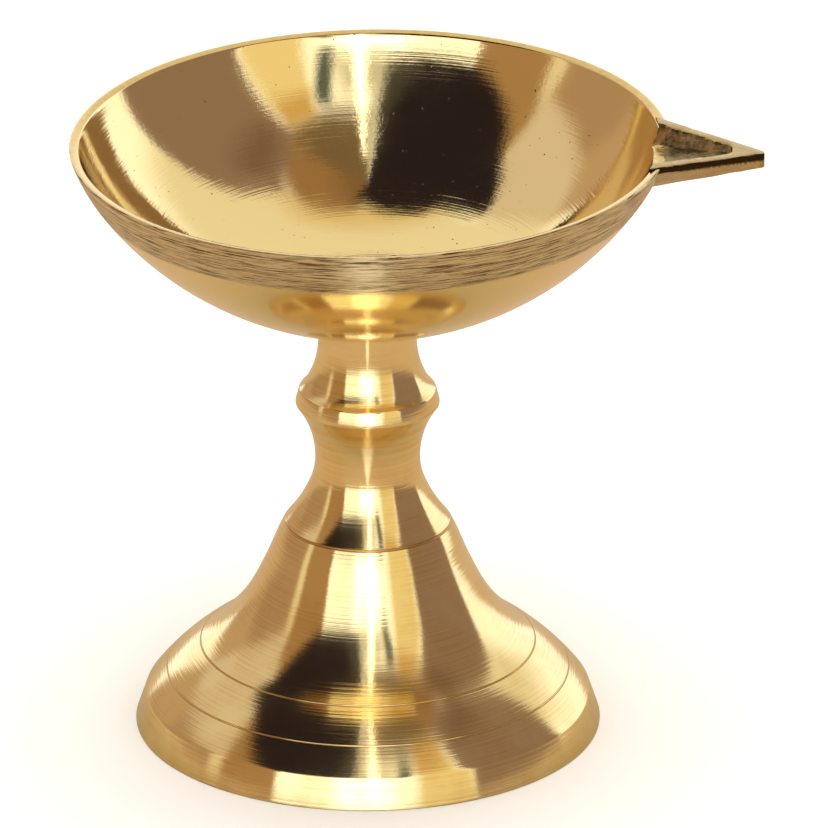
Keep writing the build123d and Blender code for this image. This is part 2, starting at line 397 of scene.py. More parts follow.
class Outline:
    """The section of a turned piece, drawn edge by edge with X as radius and Z as height."""

    def __init__(self, radius, height):
        self.mesh = bmesh.new()
        self.tip = self.mesh.verts.new((radius, 0.0, height))
        self.corners = []

    def line(self, radius, height, worn=0.0):
        """A straight edge to a place, whose corner may be worn round."""
        self.tip = bmesh.ops.extrude_vert_indiv(self.mesh, verts=[self.tip])["verts"][0]
        self.tip.co = (radius, 0.0, height)
        self.mark(worn)

    def lines(self, *places):
        """Straight edges from place to place."""
        for place in places:
            self.line(*place)

    def sweep(self, centre, turn, steps):
        """Carries the tip round a centre, anticlockwise positive."""
        centre = (centre.x, 0.0, centre.y)
        swept = bmesh.ops.spin(
            self.mesh, geom=[self.tip], cent=centre, axis=(0.0, -1.0, 0.0), angle=turn, steps=steps
        )
        self.tip = [item for item in swept["geom_last"] if isinstance(item, bmesh.types.BMVert)][0]

    def arc(self, arc, begun=0.0, short=0.0, worn=0.0):
        """An arc, from where a groove has begun it to where the next groove cuts it short."""
        way = math.copysign(1.0, arc.turn)
        turn = arc.turn - way * (begun + short) / arc.radius
        steps = max(LEAST_ARC_STEPS, math.ceil(abs(turn) * arc.radius / OUTLINE_STEP))
        self.sweep(arc.centre, turn, steps)
        if not short:
            self.tip.co = (arc.end.x, 0.0, arc.end.y)
        self.mark(worn)

    def groove(self, centre, turn):
        """The round bottom of a tool groove about a centre."""
        self.sweep(centre, turn, GROOVE_STEPS)

    def mark(self, worn):
        """Notes that the tip is a corner to be worn round."""
        if worn:
            self.corners.append((self.tip, worn))

    def spin(self, steps=TURN_STEPS):
        """Wears the marked corners round and turns the outline about Z into a closed mesh."""
        bm = self.mesh
        bmesh.ops.remove_doubles(bm, verts=bm.verts[:], dist=MERGE_DISTANCE)
        for corner, worn in self.corners:
            bmesh.ops.bevel(
                bm, geom=[corner], offset=worn, offset_type="OFFSET", segments=4, profile=0.5,
                affect="VERTICES", material=-1,
            )
        spun(bm, math.tau, steps, use_merge=True)
        return closed(bm)


# Meshes and objects


def spun(bm, turn, steps, **more):
    """Turns all that the mesh holds about Z."""
    geometry = bm.verts[:] + bm.edges[:]
    bmesh.ops.spin(
        bm, geom=geometry, cent=(0.0, 0.0, 0.0), axis=(0.0, 0.0, 1.0), angle=turn, steps=steps, **more
    )


def closed(bm):
    """The mesh with its seams and poles merged and its faces outwards."""
    bmesh.ops.remove_doubles(bm, verts=bm.verts[:], dist=MERGE_DISTANCE)
    bmesh.ops.dissolve_degenerate(bm, edges=bm.edges[:], dist=MERGE_DISTANCE / 10)
    bmesh.ops.recalc_face_normals(bm, faces=bm.faces[:])
    return bm


def bar(radius, low, high, chamfer=0.0):
    """A round bar about Z, whose ends may be chamfered."""
    outline = Outline(0.0, low)
    outline.line(radius - chamfer, low)
    if chamfer:
        outline.lines((radius, low + chamfer), (radius, high - chamfer))
    outline.lines((radius - chamfer, high), (0.0, high))
    return outline.spin(BAR_STEPS)


def piece(name, bm, materials):
    """An object with the mesh, smooth but for its sharp edges."""
    mesh = bpy.data.meshes.new(name)
    bm.to_mesh(mesh)
    bm.free()
    for material in materials:
        mesh.materials.append(material)
    mesh.shade_smooth()
    mesh.set_sharp_from_angle(angle=SHARP_ANGLE)
    made = bpy.data.objects.new(name, mesh)
    bpy.context.scene.collection.objects.link(made)
    return made


def combined(bm, *steps):
    """The mesh after boolean steps, each an operation and the mesh it is done with."""
    helpers = [piece("helper", bm, [])]
    for operation, tool in steps:
        helpers.append(piece("helper_tool", tool, []))
        step = helpers[0].modifiers.new(operation, "BOOLEAN")
        step.operation = operation
        step.solver = "EXACT"
        step.object = helpers[-1]
    ready = helpers[0].evaluated_get(bpy.context.evaluated_depsgraph_get())
    result = bmesh.new()
    result.from_mesh(ready.data)
    for helper in helpers:
        mesh = helper.data
        bpy.data.objects.remove(helper)
        bpy.data.meshes.remove(mesh)
    return result


def placed(made, body, slot, *nodes):
    """The finished piece rides on its body and stands for its CAD nodes."""
    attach(made, body)
    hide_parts(*nodes)
    return made


# Materials


class Nodes:
    """The node tree of a material or a world. Its values are numbers or other nodes' outputs."""

    def __init__(self, owner):
        owner.use_nodes = True
        self.tree = owner.node_tree
        self.tree.nodes.clear()

    def fed(self, made, inputs):
        """The node with its inputs set to numbers or linked to outputs."""
        for socket, value in inputs.items():
            if isinstance(value, bpy.types.NodeSocket):
                self.tree.links.new(value, made.inputs[socket])
            else:
                made.inputs[socket].default_value = value
        return made

    def add(self, kind, inputs=None, **settings):
        """A new node with its settings and its inputs."""
        made = self.tree.nodes.new("ShaderNode" + kind)
        for name, value in settings.items():
            setattr(made, name, value)
        return self.fed(made, inputs or {})

    def maths(self, operation, first, second=0.0):
        """Two numbers worked together."""
        return self.add("Math", {0: first, 1: second}, operation=operation).outputs[0]

    def product(self, first, second):
        """One number times another."""
        return self.maths("MULTIPLY", first, second)

    def weighed(self, *parts):
        """The sum of numbers, each times its weight."""
        whole = 0.0
        for value, weight in parts:
            whole = self.maths("ADD", whole, self.product(value, weight))
        return whole

    def spread(self, value, limits, results):
        """A number between two limits brought smoothly to between two others."""
        inputs = {"Value": value, "From Min": limits[0], "From Max": limits[1]}
        inputs.update({"To Min": results[0], "To Max": results[1]})
        return self.add("MapRange", inputs, interpolation_type="SMOOTHSTEP").outputs[0]

    def blended(self, share, first, second):
        """Two colours mixed by a share."""
        inputs = {0: share, 6: self.opaque(first), 7: self.opaque(second)}
        return self.add("Mix", inputs, data_type="RGBA").outputs[2]

    def opaque(self, tint):
        """A colour as an input takes it: another node's output, or numbers with full opacity."""
        return tint if isinstance(tint, bpy.types.NodeSocket) else (*tint, 1.0)

    def axes(self, place):
        """The three coordinates of a place."""
        return self.add("SeparateXYZ", {0: place}).outputs

    def flat(self, first, second):
        """A place or direction in the plane of X and Y."""
        return self.add("CombineXYZ", {0: first, 1: second}).outputs[0]

    def measured(self, way):
        """The length of a place or direction."""
        return self.add("VectorMath", {0: way}, operation="LENGTH").outputs["Value"]

    def faced(self, way, turn):
        """A place or direction as it is seen from a camera that has turned about Z."""
        return self.add("Mapping", {"Vector": way, "Rotation": (0.0, 0.0, -turn)}).outputs[0]

    def seen(self):
        """One where the camera looks straight at the surface, and zero in reflections."""
        return self.add("LightPath").outputs["Is Camera Ray"]

    def uneven(self, inputs, detail, roughness=0.6, **settings):
        """Noise, as a number about a half."""
        inputs = {"Scale": 1.0, "Detail": detail, "Roughness": roughness, **inputs}
        return self.add("TexNoise", inputs, **settings).outputs[0]

    def lines(self, along, width, detail=2.0):
        """Uneven lines of a width along a distance."""
        return self.uneven({"W": self.product(along, 1.0 / width)}, detail, noise_dimensions="1D")


class Finish(Nodes):
    """A new material with its shader and its object coordinates."""

    def __init__(self, name, metallic=1.0, anisotropy=0.0):
        self.material = bpy.data.materials.new(name)
        super().__init__(self.material)
        self.shader = self.add("BsdfPrincipled", {"Metallic": metallic, "Anisotropic": anisotropy})
        self.add("OutputMaterial", {"Surface": self.shader.outputs[0]})
        self.place = self.add("TexCoord").outputs["Object"]

    def grain(self, width, detail=3.0):
        """An even grain of a width."""
        return self.uneven({"Vector": self.place, "Scale": 1.0 / width}, detail, 0.55)

    def ring_frame(self, place):
        """For a piece turned about Z: distance from the axis, angle, height, direction round the axis."""
        along_x, along_y, height = self.axes(place)
        minus_x = self.product(along_x, -1.0)
        minus_y = self.product(along_y, -1.0)
        reach = self.measured(self.flat(along_x, along_y))
        return reach, self.maths("ARCTAN2", along_y, minus_x), height, self.flat(minus_y, along_x)

    def bowl_frame(self, sizes):
        """For the leaning bowl: place from the sphere's centre, angle round the bowl's own axis, distance
        up the wall from the lowest place, direction round the axis."""
        centre, radius = bowl_sphere(sizes)
        back = bowl_turn(sizes).transposed()
        move = {"Location": back @ Vector((0.0, 0.0, -centre)), "Rotation": back.to_euler()}
        upright = self.add("Mapping", {"Vector": self.place, **move}).outputs[0]
        reach, round_angle, height, about = self.ring_frame(upright)
        fall = self.maths("ARCTAN2", reach, self.product(height, -1.0))
        return upright, round_angle, self.product(fall, radius), about

    def brush(self, about):
        """Gives the shader the direction of the turning lines, so that gloss spreads across them."""
        spaces = {"vector_type": "VECTOR", "convert_from": "OBJECT", "convert_to": "WORLD"}
        tangent = self.add("VectorTransform", {0: about}, **spaces).outputs[0]
        self.fed(self.shader, {"Tangent": tangent, "Anisotropic Rotation": 0.25})

    def done(self, tint, roughness, relief=None, depth=0.0):
        """The material with its colour, its roughness and a relief of a depth in metres."""
        self.fed(self.shader, {"Base Color": self.opaque(tint), "Roughness": roughness})
        if relief is not None:
            bump = self.add("Bump", {"Height": relief, "Strength": 1.0, "Distance": depth})
            self.fed(self.shader, {"Normal": bump.outputs[0]})
        return self.material


def turned_brass(name, brass):
    """Brass turned on a hand-fed lathe and lightly buffed: rings 0.3 mm apart break the edges of every
    reflection into fine teeth and draw highlights out across them."""
    finish = Finish(name, anisotropy=0.85)
    reach, _, height, about = finish.ring_frame(finish.place)
    finish.brush(about)
    along = finish.weighed((reach, 0.75), (height, -0.75))
    feed = finish.lines(along, FEED)
    chatter = finish.lines(along, 2.2 * MM, detail=1.0)
    smear = finish.grain(6.0 * MM)
    torn = finish.grain(TEAR, detail=2.0)
    crests = finish.spread(feed, (0.38, 0.62), (1.0, 0.3))
    toned = finish.product(crests, finish.spread(smear, (0.35, 0.65), (0.0, 1.0)))
    return finish.done(
        tint=finish.blended(toned, brass.bright, brass.warm),
        roughness=finish.spread(smear, (0.25, 0.75), (0.10, 0.15)),
        relief=finish.weighed((feed, 1.0), (chatter, 1.0), (torn, 0.3)),
        depth=0.011 * MM,
    )


def dull_brass(name, brass):
    """Brass at the bottom of a tool groove, where polish and dirt dry brown and no buff reaches."""
    return Finish(name).done(tint=brass.groove, roughness=0.3)


def cast_brass(name, brass, coarse, dullness, dirt):
    """Brass as it came out of a sand mould: a dull grainy skin, with dirt left in its hollows."""
    finish = Finish(name)
    sand = finish.grain(SAND, detail=4.0)
    swell = finish.grain(1.6 * MM)
    relief = finish.weighed((sand, 0.4), (swell, 1.0))
    dull = finish.spread(relief, (0.45, 0.95), (dullness, dullness * 0.35))
    return finish.done(
        tint=finish.blended(dull, brass.cast, dirt),
        roughness=finish.spread(sand, (0.3, 0.7), CAST_ROUGHNESS),
        relief=relief,
        depth=coarse,
    )


def cheek_brass(name, brass, sizes):
    """The spout's cheeks: cast brass, near-black in a band under the upper edge and ribbed brown below it."""
    finish = Finish(name)
    along, _, height = finish.axes(finish.bowl_frame(sizes)[0])
    centre, _ = bowl_sphere(sizes)
    fall = (sizes.rise + sizes.droop) / (sizes.spout_length + sizes.spout_bite)
    edge = STEM_HIGH.z + sizes.boss_height + sizes.height + sizes.rise - centre
    edge += fall * (sizes.rim_radius - sizes.spout_bite)
    sand = finish.grain(SAND, detail=4.0)
    ribs = finish.lines(along, FEED)
    # Near-black in a band 0.85 to 1.25 mm under the spout's upper edge, its lower edge ragged with the sand
    # grain.
    below = finish.weighed((edge, 1.0), (height, -1.0), (along, -fall), (sand, 0.3 * MM))
    black = finish.spread(below, (0.85 * MM, 1.25 * MM), (1.0, 0.0))
    skin = finish.blended(finish.spread(ribs, (0.3, 0.6), (0.3, 1.0)), brass.tarnish, brass.cast)
    return finish.done(
        tint=finish.blended(black, skin, brass.soot),
        roughness=finish.spread(sand, (0.3, 0.7), CAST_ROUGHNESS),
        relief=finish.weighed((ribs, 1.0), (sand, 0.5)),
        depth=0.05 * MM,
    )


def bowl_inside_brass(name, brass, sizes):
    """Cast brass turned and buffed inside the bowl: nearly a mirror, with fine rings and a few pits."""
    finish = Finish(name, anisotropy=0.5)
    _, _, along, about = finish.bowl_frame(sizes)
    finish.brush(about)
    feed = finish.lines(along, 0.28 * MM)
    chatter = finish.lines(along, 3.0 * MM, detail=1.0)
    smear = finish.grain(5.0 * MM)
    pits = finish.spread(finish.grain(0.45 * MM, detail=1.0), (0.20, 0.24), (0.0, 1.0))
    torn = finish.weighed((feed, 1.0), (finish.grain(TEAR, detail=2.0), 0.5))
    deep = finish.product(torn, finish.spread(smear, (0.3, 0.7), (0.4, 1.3)))
    return finish.done(
        tint=finish.blended(pits, brass.tarnish, brass.bright),
        roughness=finish.spread(smear, (0.25, 0.75), (0.06, 0.11)),
        relief=finish.weighed((deep, 1.0), (chatter, 0.9), (pits, 1.0)),
        depth=0.010 * MM,
    )


def bowl_outside_brass(name, brass, sizes):
    """The bowl's outside: turned bright below, and linished by an abrasive belt in a band under the rim,
    whose long scratches run round the bowl and look browner and duller."""
    finish = Finish(name, anisotropy=0.75)
    _, radius = bowl_sphere(sizes)
    _, round_angle, along, about = finish.bowl_frame(sizes)
    finish.brush(about)
    feed = finish.lines(along, FEED)
    scratches = []
    for reach, width, slant in SCRATCHES:
        across = finish.weighed((along, 1.0), (round_angle, slant))
        lengthwise = finish.product(round_angle, radius / reach)
        place = finish.flat(lengthwise, finish.product(across, 1.0 / width))
        scratches.append(finish.uneven({"Vector": place}, detail=3.0))
    fine, coarse = scratches
    band = radius * sizes.band_angle
    ragged = finish.weighed((along, 1.0), (coarse, 1.6 * MM))
    belt = finish.spread(ragged, (band + 0.6 * MM, band + 1.0 * MM), (0.0, 1.0))
    scored = finish.weighed((fine, 0.65), (coarse, 0.35))
    streaks = finish.spread(scored, (0.445, 0.495), (0.0, 1.0))
    linished = finish.blended(streaks, brass.tarnish, brass.linished)
    return finish.done(
        tint=finish.blended(belt, brass.bright, linished),
        roughness=finish.spread(belt, (0.0, 1.0), (0.10, 0.34)),
        relief=finish.add("Mix", {0: belt, 2: finish.product(feed, 0.25), 3: scored}).outputs[0],
        depth=0.014 * MM,
    )


def filed_brass(name, brass):
    """The rim's land, turned flat and rubbed smooth by handling, with a few faint scratches."""
    finish = Finish(name, anisotropy=0.2)
    scratch = finish.grain(0.9 * MM, detail=4.0)
    worn = finish.spread(scratch, (0.35, 0.6), (0.4, 1.0))
    return finish.done(
        tint=finish.blended(worn, brass.cast, brass.warm),
        roughness=finish.spread(scratch, (0.3, 0.7), (0.18, 0.28)),
        relief=scratch,
        depth=0.006 * MM,
    )


# Stage


def floor_paper(stage):
    """Matt paper: pale to the eye; seen in the brass it has painted shade, warmer and dimmer, with a painted
    glow near the lamp and a painted light streak before it, where the white panel would light it."""
    paper = Finish("matt_paper_painted_light", metallic=0.0)
    place = paper.faced(paper.place, stage.azimuth)
    aside, behind, _ = paper.axes(place)
    reach, width = stage.painted_glow_reach, stage.painted_streak_width
    # Painted glow near the lamp's axis and a painted light streak before the lamp, only in the floor that the
    # brass sees.
    near = paper.spread(paper.measured(place), (stage.painted_full_glow * reach, reach), (1.0, 0.0))
    streak = paper.spread(paper.maths("ABSOLUTE", aside), (stage.painted_full_glow * width, width), (1.0, 0.0))
    before = paper.spread(behind, (-width, 0.0), (1.0, 0.0))
    # Painted shade over that floor, lifted by the painted glow and the painted streak; the camera itself sees
    # the plain pale floor.
    warm = paper.blended(near, stage.painted_floor_shade, stage.painted_floor_glow)
    painted_floor_light = paper.blended(paper.product(streak, before), warm, stage.floor)
    return paper.done(tint=paper.blended(paper.seen(), painted_floor_light, stage.floor), roughness=0.9)


def soft_studio(stage):
    """A white studio with warm walls, soft white panels and a dark ceiling, all seen only in the brass."""
    world = bpy.data.worlds.new("soft_studio")
    sky = Nodes(world)
    aside, behind, above = sky.axes(sky.faced(sky.add("TexCoord").outputs["Generated"], stage.azimuth))
    round_way = sky.maths("ARCTAN2", aside, sky.product(behind, -1.0))
    spot = sky.flat(round_way, sky.maths("ARCSINE", above))
    look = [stage.white_level * part for part in stage.white_wall]
    for tint, level, corners, soft in PANELS:
        share = 1.0
        soft = math.radians(soft)
        corners = [Vector([math.radians(way) for way in corner]) for corner in corners]
        for corner, following in zip(corners, corners[1:] + corners[:1]):
            inwards = (following - corner).orthogonal().normalized()
            edge = inwards.dot(corner)
            within = sky.add("VectorMath", {0: spot, 1: (*inwards, 0.0)}, operation="DOT_PRODUCT")
            inside = sky.spread(within.outputs["Value"], (edge - soft, edge + soft), (0.0, 1.0))
            share = sky.product(share, inside)
        look = sky.blended(share, look, [level * part for part in linear(tint)])
    shown = sky.blended(sky.seen(), look, stage.backdrop)
    light = sky.add("Background", {"Color": shown, "Strength": 1.0})
    sky.add("OutputWorld", {"Surface": light.outputs[0]})
    return world


# Pieces


def foot_mesh(sizes):
    """Hollow foot: shoulder, steep bell, round skirt and a bevelled band, with two tool grooves."""
    seam = Vector((sizes.seam_radius, sizes.height))
    shoulder = seam + Vector((sizes.shoulder_swell, -sizes.shoulder_drop))
    bell = seam + Vector((sizes.bell_swell, -sizes.bell_drop))
    skirt = Vector((sizes.skirt_radius, sizes.skirt_height))
    band = Vector((sizes.base_radius - sizes.band_taper, sizes.band_height))
    heading = turned_heading(Vector((1.0, 0.0)), -sizes.shoulder_slope)
    flank = arc_chain(seam, heading, (shoulder, bell, skirt, band))
    upper_skirt, lower_skirt = flank[3].split(sizes.lower_groove)
    inner = [arc.moved(sizes.wall).backwards() for arc in reversed(flank[1:])]
    crown_low = sizes.height - sizes.crown

    outline = Outline(sizes.hole, sizes.height)
    outline.line(sizes.seam_radius - sizes.seam_groove, sizes.height)
    outline.groove(seam, math.pi - sizes.shoulder_slope)
    outline.arc(flank[0], begun=sizes.seam_groove)
    outline.arc(flank[1])
    outline.arc(flank[2], short=sizes.groove)
    outline.groove(skirt, math.pi)
    outline.arc(upper_skirt, begun=sizes.groove, short=sizes.groove)
    outline.groove(upper_skirt.end, math.pi)
    outline.arc(lower_skirt, begun=sizes.groove, worn=sizes.worn_edge)
    outline.line(sizes.base_radius, 0.0, worn=sizes.worn_edge)
    outline.line(sizes.base_radius - sizes.base_land, 0.0, worn=sizes.worn_edge)
    outline.line(*inner[0].start)
    outline.arc(inner[0])
    outline.arc(inner[1])
    outline.arc(inner[2].split(crown_low)[0])
    outline.lines((sizes.hole, crown_low), (sizes.hole, sizes.height))
    bm = outline.spin()
    cuts = [(seam, sizes.seam_groove), (skirt, sizes.groove), (upper_skirt.end, sizes.groove)]
    for face in bm.faces:
        place = face.calc_center_median()
        outwards = face.normal.xy.dot(place.xy.normalized())
        section = Vector((place.xy.length, place.z))
        if any((section - cut).length < tool for cut, tool in cuts):
            face.material_index = GROOVE
        elif place.z > 0.0 and (outwards < HOLLOW_INWARDS or face.normal.z < HOLLOW_DOWN):
            face.material_index = HOLLOW
        else:
            face.material_index = TURNED
    return bm


def threaded_bar(sizes, low, high):
    """A bar with a helical thread and chamfered ends."""
    root = sizes.radius - THREAD_DEPTH * sizes.pitch
    root_flat = sizes.pitch / 4
    crest = sizes.pitch / 8
    flank = (sizes.pitch - root_flat - crest) / 2
    run_in, run_out = 2, 1
    turns = math.ceil((high - low) / sizes.pitch) + run_in + run_out
    start = low - run_in * sizes.pitch
    tooth = Outline(root, start)
    tooth.lines(
        (root, start + root_flat),
        (sizes.radius, start + root_flat + flank),
        (sizes.radius, start + root_flat + flank + crest),
        (root, start + sizes.pitch),
    )
    bm = tooth.mesh
    spun(bm, math.tau * turns, THREAD_STEPS * turns, dvec=(0.0, 0.0, sizes.pitch / THREAD_STEPS))
    bmesh.ops.remove_doubles(bm, verts=bm.verts[:], dist=MERGE_DISTANCE)
    for height, side in ((low, -1.0), (high, 1.0)):
        bmesh.ops.bisect_plane(
            bm,
            geom=bm.verts[:] + bm.edges[:] + bm.faces[:],
            plane_co=(0.0, 0.0, height),
            plane_no=(0.0, 0.0, side),
            clear_outer=True,
        )
    bmesh.ops.holes_fill(bm, edges=[edge for edge in bm.edges if edge.is_boundary])
    return combined(closed(bm), ("INTERSECT", bar(sizes.radius * TRIM_SHARE, low, high, sizes.end_chamfer)))


def stem_mesh(sizes, foot, thread):
    """Turned baluster: flared base, waist, collar with a land, cove and neck, with its tenon and socket."""
    seat = STEM_HIGH.z
    neck = Vector((sizes.neck_radius, seat - sizes.neck_length))
    collar = Vector((sizes.collar_radius, seat - sizes.collar_drop))
    land_top = collar + Vector((-sizes.land_taper, sizes.land_height))
    cove = Vector((land_top.x - sizes.cove_inset, seat - sizes.cove_drop))
    waist = Vector((sizes.waist_radius, foot.height + sizes.waist_rise))
    flare = Vector((sizes.waist_radius + sizes.flare_swell, foot.height + sizes.flare_rise))
    seam = Vector((foot.seam_radius, foot.height))
    down = Vector((0.0, -1.0))
    tapped = thread.radius + thread.clearance
    socket_end = STUD_LOW.z - sizes.socket_gap
    into_cove, out_of_cove = arc_chain(neck, down, (cove, land_top))
    under_collar = Arc(waist, -down, collar).backwards()
    below_waist, base = arc_chain(waist, down, (flare, seam))

    outline = Outline(0.0, socket_end - tapped / math.tan(sizes.drill_point / 2))
    outline.lines((tapped, socket_end), (tapped, seat), (sizes.neck_radius, seat), neck)
    outline.arc(into_cove)
    outline.arc(out_of_cove, worn=sizes.worn_edge)
    outline.line(*collar, worn=sizes.worn_edge)
    outline.arc(under_collar)
    outline.arc(below_waist)
    outline.arc(base, short=foot.seam_groove)
    outline.groove(seam, -math.atan2(base.arrival.y, base.arrival.x))
    outline.line(0.0, foot.height)
    tenon = threaded_bar(thread, STEM_LOW.z, foot.height + thread.radius)
    return combined(outline.spin(), ("UNION", tenon))


def spout_bar(places, widths, tops, depths, cheek, floor_share):
    """A bar along X between two six-sided sections with upright cheeks and drawn-in lower sides."""
    bm = bmesh.new()
    edges = []
    for place, width, top, depth in zip(places, widths, tops, depths):
        half = width / 2
        section = (
            (half, top),
            (half, top - cheek),
            (half * floor_share, top - depth),
            (-half * floor_share, top - depth),
            (-half, top - cheek),
            (-half, top),
        )
        ring = bm.faces.new([bm.verts.new((place, across, height)) for across, height in section])
        edges.extend(ring.edges)
    bmesh.ops.bridge_loops(bm, edges=edges)
    return closed(bm)


def roughened(bm, height, grain, seed, shrunk):
    """The mesh finely divided and moved by noise, as a sand mould leaves it, and inwards by a share of it."""
    for _ in range(CAST_DIVISIONS):
        long_edges = [edge for edge in bm.edges if edge.calc_length() > grain]
        bmesh.ops.subdivide_edges(bm, edges=long_edges, cuts=1, use_grid_fill=True)
    bm.normal_update()
    moves = {}
    for vert in bm.verts:
        swell = noise.noise(vert.co / (grain * SWELL_WIDTH) + Vector((seed, 0.0, 0.0)))
        fine = noise.noise(vert.co / grain + Vector((0.0, seed, 0.0)))
        lump = swell + FINE_HEIGHT * fine - (1.0 + FINE_HEIGHT) * shrunk
        moves[vert] = vert.normal * height * lump
    for vert, move in moves.items():
        vert.co += move
    bmesh.ops.triangulate(bm, faces=bm.faces[:])
    return bm


def softened(bm, finishes, rounds):
    """Rounds the edges where the finishes meet others, as casting and rubbing leave them."""
    for _ in range(rounds):
        seams = []
        for vert in bm.verts:
            met = {face.material_index for face in vert.link_faces}
            if len(met) > 1 and met & finishes:
                seams.append(vert)
        axes = {"use_axis_x": True, "use_axis_y": True, "use_axis_z": True}
        bmesh.ops.smooth_vert(bm, verts=seams, factor=0.5, **axes)
    return bm


def bowl_sphere(sizes):
    """Centre height and radius of the sphere that the bowl's outside is turned to."""
    sphere_rim = sizes.rim_radius + sizes.band_inset
    radius = (sphere_rim ** 2 + sizes.height ** 2) / (2 * sizes.height)
    return STEM_HIGH.z + sizes.boss_height + radius, radius


def bowl_turn(sizes):
    """The turn that gives the bowl its lean, lowest at its bearing."""
    bearing = Matrix.Rotation(sizes.lean_bearing, 3, "Z")
    return bearing @ Matrix.Rotation(sizes.lean, 3, "Y") @ bearing.transposed()


def bowl_inside(sizes, rim_inner):
    """Arcs of the bowl's inside, from its nearly flat floor up the thin wall to the rim."""
    centre, radius = bowl_sphere(sizes)
    floor = Vector((0.0, STEM_HIGH.z + sizes.floor_rise))
    stations = [floor + Vector((sizes.floor_radius, sizes.floor_dish))]
    walls = ((sizes.lower_wall_radius, sizes.lower_wall), (sizes.upper_wall_radius, sizes.upper_wall))
    for place, wall in walls:
        stations.append(Vector((place, centre - math.sqrt((radius - wall) ** 2 - place ** 2))))
    return arc_chain(floor, Vector((1.0, 0.0)), [*stations, rim_inner])


def spout_meshes(sizes, rim_height):
    """The solid spout with its worn edges, and the channel that is cut from it."""
    root = sizes.rim_radius - sizes.spout_bite
    reach = sizes.rim_radius + sizes.spout_length
    root_top = rim_height + sizes.rise
    tip_top = rim_height - sizes.droop
    spout = spout_bar(
        (root, reach),
        (sizes.root_width, sizes.tip_width),
        (root_top, tip_top),
        (sizes.root_depth, sizes.tip_depth),
        sizes.cheek,
        sizes.keel_share,
    )
    worn = [edge for edge in spout.edges if max(vert.co.x for vert in edge.verts) > root + MERGE_DISTANCE]
    bmesh.ops.bevel(
        spout, geom=worn, offset=sizes.spout_edge, offset_type="OFFSET", segments=3, profile=0.5,
        affect="EDGES", clamp_overlap=True, material=-1,
    )

    wall = sizes.channel_wall
    ends = (root - wall, sizes.rim_radius + sizes.channel_length)
    shares = [(place - root) / (reach - root) for place in ends]
    taper = sizes.tip_width - sizes.root_width
    widths = [sizes.root_width + taper * share - 2 * wall for share in shares]
    tops = [root_top + (tip_top - root_top) * share + wall for share in shares]
    depths = (sizes.channel_root_depth + wall, sizes.channel_end_depth + wall)
    channel = spout_bar(ends, widths, tops, depths, wall, sizes.channel_share)
    channel = roughened(channel, sizes.cast_lumps, sizes.cast_grain, seed=3.0, shrunk=0.0)
    spout = roughened(spout, sizes.cast_waviness, sizes.cast_grain, seed=7.0, shrunk=1.0)
    for face in channel.faces:
        face.material_index = CHANNEL
    for face in spout.faces:
        face.material_index = CHEEK if CHEEK_DOWN < face.normal.z < CHEEK_UP else SPOUT
    return spout, channel


def boss_mesh(sizes, centre, radius, neck_radius):
    """Round pad that carries the bowl on the stem, filleted into the outside of the sphere."""
    fillet_offset = neck_radius + sizes.boss_fillet
    fillet_reach = radius + sizes.boss_fillet
    fillet_drop = math.sqrt(fillet_reach ** 2 - fillet_offset ** 2)
    side_top = Vector((neck_radius, centre - fillet_drop))
    share = (radius - BITE) / fillet_reach
    in_sphere = Vector((fillet_offset * share, centre - fillet_drop * share))
    boss = Outline(0.0, STEM_HIGH.z)
    boss.lines((neck_radius, STEM_HIGH.z), side_top)
    boss.arc(Arc(side_top, Vector((0.0, 1.0)), in_sphere))
    boss.line(0.0, in_sphere.y + sizes.boss_fillet)
    return boss.spin(BOWL_STEPS)


def bowl_mesh(sizes, thread, neck_radius):
    """Leaning spherical bowl with a turned inside, a cast spout with its channel, and a tapped boss."""
    seat = STEM_HIGH.z
    centre, radius = bowl_sphere(sizes)
    middle = Vector((0.0, 0.0, centre))
    lowest = Vector((0.0, seat + sizes.boss_height))
    band = Vector((radius * math.sin(sizes.band_angle), centre - radius * math.cos(sizes.band_angle)))
    rim_outer = lowest + Vector((sizes.rim_radius, sizes.height))
    rim_inner = rim_outer - Vector((sizes.rim_land, sizes.rim_fall))
    inside = bowl_inside(sizes, rim_inner)
    outside = arc_chain(lowest, Vector((1.0, 0.0)), (band, rim_outer))

    shell = Outline(*inside[0].start)
    for arc in inside[:-1]:
        shell.arc(arc)
    shell.arc(inside[-1], worn=sizes.rim_rounding)
    shell.line(*rim_outer, worn=sizes.rim_edge)
    for arc in reversed(outside):
        shell.arc(arc.backwards())
    shell = shell.spin(BOWL_STEPS)
    for face in shell.faces:
        place = face.calc_center_median()
        if face.normal.z > RIM_UP and place.z > rim_inner.y - sizes.rim_rounding:
            face.material_index = RIM
        elif face.normal.dot(place - middle) > 0.0:
            face.material_index = OUTSIDE
        else:
            face.material_index = INSIDE

    trim = [arc.moved(BITE) for arc in inside]
    mouth = Outline(*trim[0].start)
    for arc in trim:
        mouth.arc(arc)
    mouth.lines((trim[-1].end.x, centre), (0.0, centre))
    mouth = mouth.spin(BOWL_STEPS)
    for face in mouth.faces:
        face.material_index = RIM

    spout, channel = spout_meshes(sizes, rim_outer.y)
    spout = combined(spout, ("DIFFERENCE", mouth))
    bowl = combined(shell, ("UNION", spout), ("DIFFERENCE", channel))
    for face in bowl.faces:
        depth = (face.calc_center_median() - middle).length
        if face.material_index == CHANNEL and depth < radius - sizes.upper_wall + sizes.sill:
            face.material_index = RIM
    bowl = softened(bowl, {CHANNEL}, rounds=3)
    bmesh.ops.rotate(bowl, verts=bowl.verts[:], cent=middle, matrix=bowl_turn(sizes))
    boss = boss_mesh(sizes, centre, radius, neck_radius)
    tapped = bar(thread.radius + thread.clearance, seat - OVERSHOOT, seat + sizes.tapped_depth)
    return combined(bowl, ("UNION", boss), ("DIFFERENCE", tapped))


